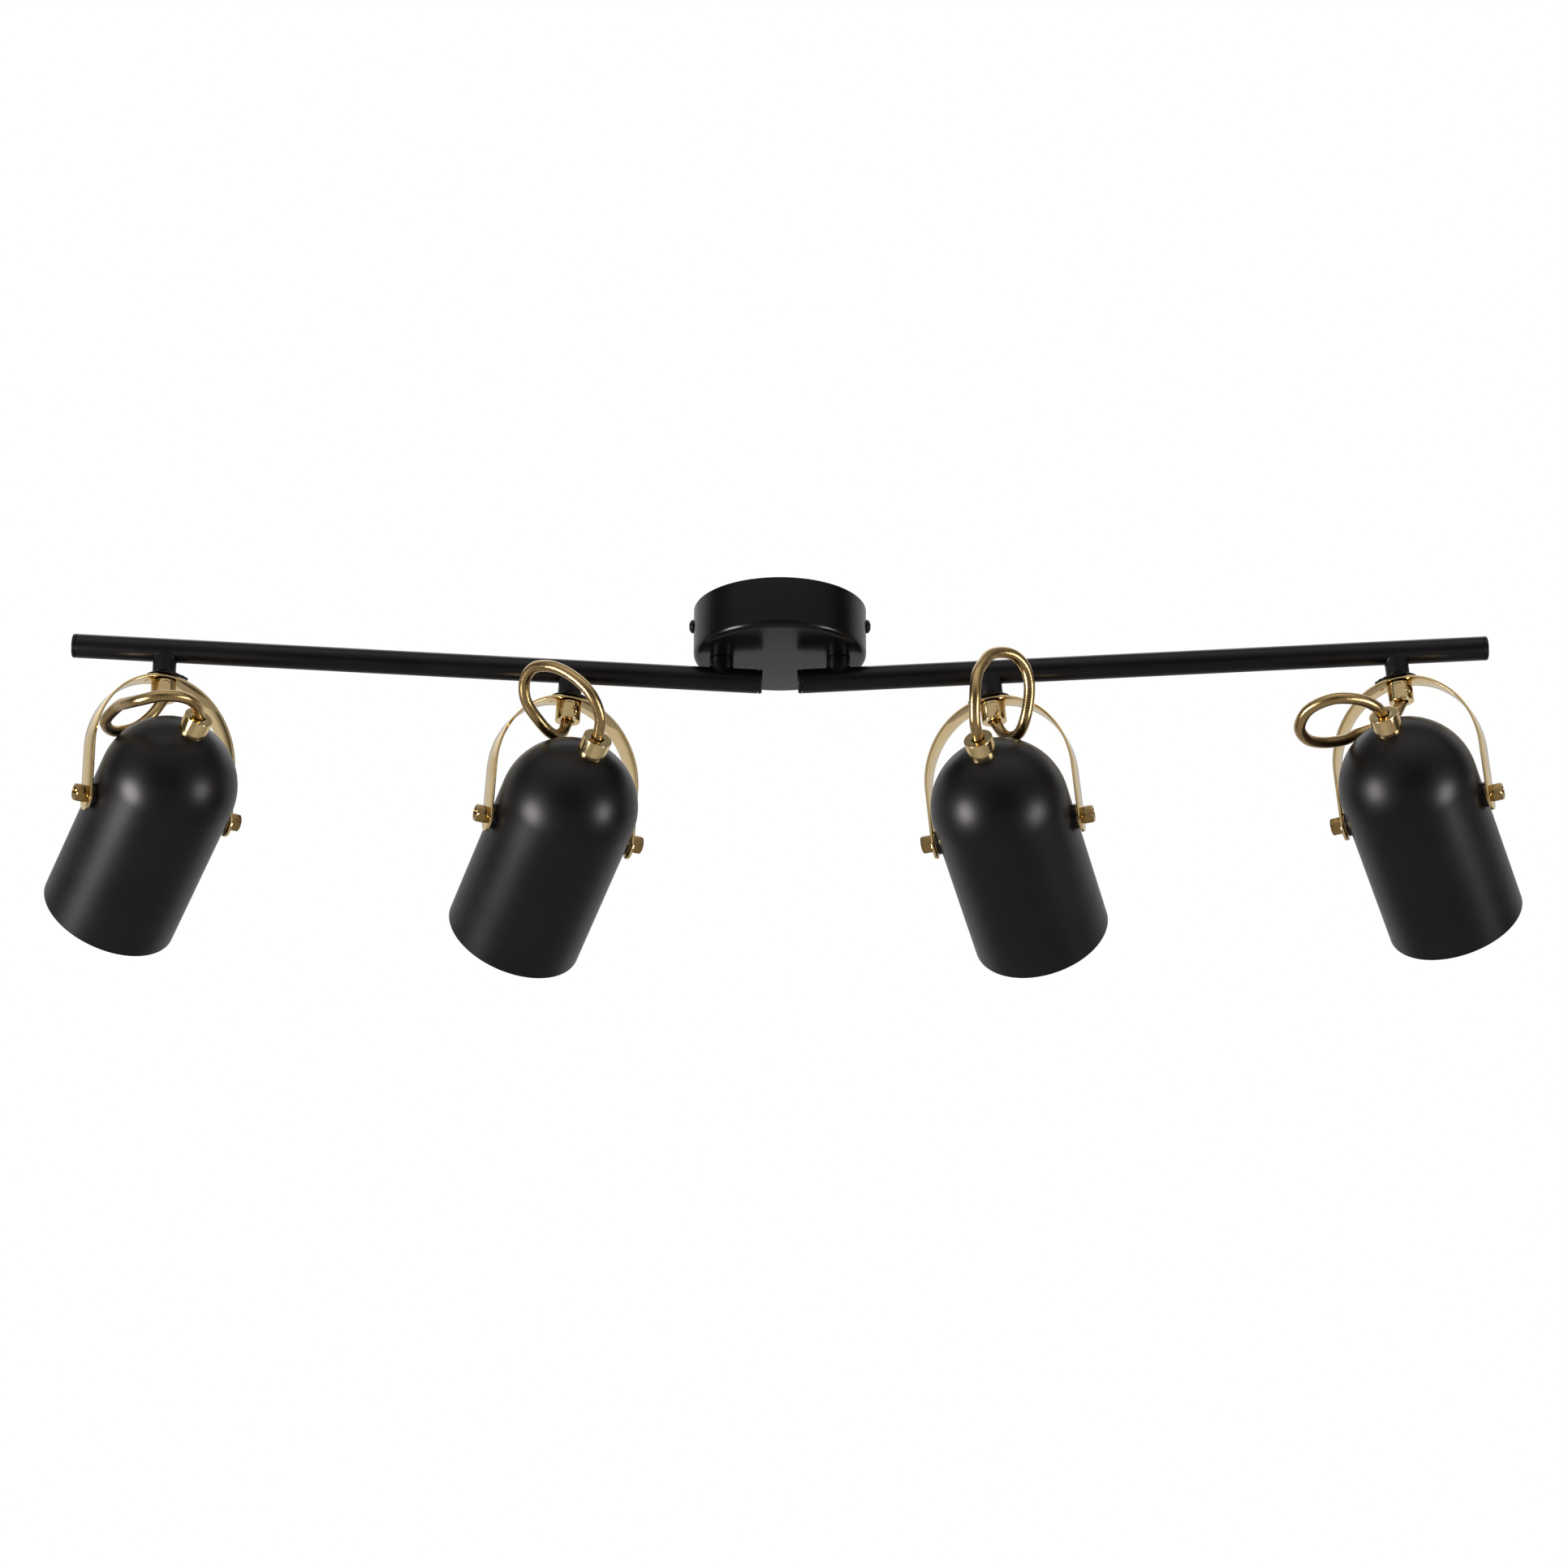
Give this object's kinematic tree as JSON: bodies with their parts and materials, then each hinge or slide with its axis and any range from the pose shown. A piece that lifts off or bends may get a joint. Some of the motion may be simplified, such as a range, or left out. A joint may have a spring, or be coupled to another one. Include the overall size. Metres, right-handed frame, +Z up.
{
  "type": "ceiling spotlight bar",
  "caption": "Black ceiling spotlight bar: a round canopy carries two swinging tubes, each with bell shades that tilt and swivel in brass yokes, fed by looped brass cords.",
  "frame": {"origin": "centre of the canopy's open top, in the plane of the ceiling", "axes": "+Z up into the ceiling, +X along the bar to the viewer's right, -Y towards the viewer"},
  "size_m": [0.8532, 0.1638, 0.2102],
  "materials": {
    "black_powder_coat": "satin near-black powder coat, fine grain",
    "polished_brass": "polished light brass with a faint lengthwise grain",
    "brass_armoured_cord": "spiral-ribbed brass armour, darker in its grooves",
    "zinc_plated_steel": "bright zinc plating",
    "white_ceramic": "matt white ceramic"
  },
  "bodies": {
    "canopy": {"canopy_shell": "black_powder_coat", "ceiling_bracket": "zinc_plated_steel", "canopy_screw_left": "black_powder_coat", "canopy_screw_right": "black_powder_coat"},
    "left_arm": {"left_arm_tube": "black_powder_coat", "left_arm_collar": "black_powder_coat", "left_arm_cap_inner": "black_powder_coat", "left_arm_cap_outer": "black_powder_coat", "lamp_1_stub": "black_powder_coat", "lamp_1_stop_washer": "black_powder_coat", "lamp_2_stub": "black_powder_coat", "lamp_2_stop_washer": "black_powder_coat"},
    "right_arm": {"right_arm_tube": "black_powder_coat", "right_arm_collar": "black_powder_coat", "right_arm_cap_inner": "black_powder_coat", "right_arm_cap_outer": "black_powder_coat", "lamp_3_stub": "black_powder_coat", "lamp_3_stop_washer": "black_powder_coat", "lamp_4_stub": "black_powder_coat", "lamp_4_stop_washer": "black_powder_coat"},
    "yoke_1": {"lamp_1_yoke": "polished_brass", "lamp_1_cable_grip": "polished_brass", "lamp_1_cord": "brass_armoured_cord"},
    "head_1": {"lamp_1_shade": "black_powder_coat", "lamp_1_cord_bushing": "polished_brass", "lamp_1_lampholder": "white_ceramic", "lamp_1_bolt_left": "polished_brass", "lamp_1_bolt_right": "polished_brass", "lamp_1_spacer_left": "black_powder_coat", "lamp_1_spacer_right": "black_powder_coat"},
    "yoke_2": {"lamp_2_yoke": "polished_brass", "lamp_2_cable_grip": "polished_brass", "lamp_2_cord": "brass_armoured_cord"},
    "head_2": {"lamp_2_shade": "black_powder_coat", "lamp_2_cord_bushing": "polished_brass", "lamp_2_lampholder": "white_ceramic", "lamp_2_bolt_left": "polished_brass", "lamp_2_bolt_right": "polished_brass", "lamp_2_spacer_left": "black_powder_coat", "lamp_2_spacer_right": "black_powder_coat"},
    "yoke_3": {"lamp_3_yoke": "polished_brass", "lamp_3_cable_grip": "polished_brass", "lamp_3_cord": "brass_armoured_cord"},
    "head_3": {"lamp_3_shade": "black_powder_coat", "lamp_3_cord_bushing": "polished_brass", "lamp_3_lampholder": "white_ceramic", "lamp_3_bolt_left": "polished_brass", "lamp_3_bolt_right": "polished_brass", "lamp_3_spacer_left": "black_powder_coat", "lamp_3_spacer_right": "black_powder_coat"},
    "yoke_4": {"lamp_4_yoke": "polished_brass", "lamp_4_cable_grip": "polished_brass", "lamp_4_cord": "brass_armoured_cord"},
    "head_4": {"lamp_4_shade": "black_powder_coat", "lamp_4_cord_bushing": "polished_brass", "lamp_4_lampholder": "white_ceramic", "lamp_4_bolt_left": "polished_brass", "lamp_4_bolt_right": "polished_brass", "lamp_4_spacer_left": "black_powder_coat", "lamp_4_spacer_right": "black_powder_coat"}
  },
  "joints": [
    {"name": "left_arm_swing", "type": "hinge", "parent": "canopy", "child": "left_arm", "pos_m": [-0.0337, 0, -0.0426], "axis": [0, 0, 1], "range_deg": [-90, 90]},
    {"name": "right_arm_swing", "type": "hinge", "parent": "canopy", "child": "right_arm", "pos_m": [0.0337, 0, -0.0426], "axis": [0, 0, 1], "range_deg": [-90, 90]},
    {"name": "lamp_1_swivel", "type": "hinge", "parent": "left_arm", "child": "yoke_1", "pos_m": [-0.35598, 0, -0.0243], "axis": [-0.0044, 0, 1], "range_deg": [-160, 160]},
    {"name": "lamp_1_tilt", "type": "hinge", "parent": "yoke_1", "child": "head_1", "pos_m": [-0.35556, 0, -0.1216], "axis": [0.8616, 0.5075, 0.0038], "range_deg": [-35, 50], "deforming": ["lamp_1_cord"]},
    {"name": "lamp_2_swivel", "type": "hinge", "parent": "left_arm", "child": "yoke_2", "pos_m": [-0.12056, 0, -0.03767], "axis": [0.0567, 0, 0.9984], "range_deg": [-160, 160]},
    {"name": "lamp_2_tilt", "type": "hinge", "parent": "yoke_2", "child": "head_2", "pos_m": [-0.12608, 0, -0.13481], "axis": [0.9183, 0.3923, -0.0521], "range_deg": [-35, 50], "deforming": ["lamp_2_cord"]},
    {"name": "lamp_3_swivel", "type": "hinge", "parent": "right_arm", "child": "yoke_3", "pos_m": [0.12058, 0, -0.03805], "axis": [-0.0941, 0, 0.9956], "range_deg": [-160, 160]},
    {"name": "lamp_3_tilt", "type": "hinge", "parent": "yoke_3", "child": "head_3", "pos_m": [0.12974, 0, -0.13492], "axis": [0.9575, -0.274, 0.0905], "range_deg": [-35, 50], "deforming": ["lamp_3_cord"]},
    {"name": "lamp_4_swivel", "type": "hinge", "parent": "right_arm", "child": "yoke_4", "pos_m": [0.35606, 0, -0.02571], "axis": [-0.0785, 0, 0.9969], "range_deg": [-160, 160]},
    {"name": "lamp_4_tilt", "type": "hinge", "parent": "yoke_4", "child": "head_4", "pos_m": [0.36369, 0, -0.12271], "axis": [0.9183, -0.3891, 0.0723], "range_deg": [-35, 50], "deforming": ["lamp_4_cord"]}
  ]
}
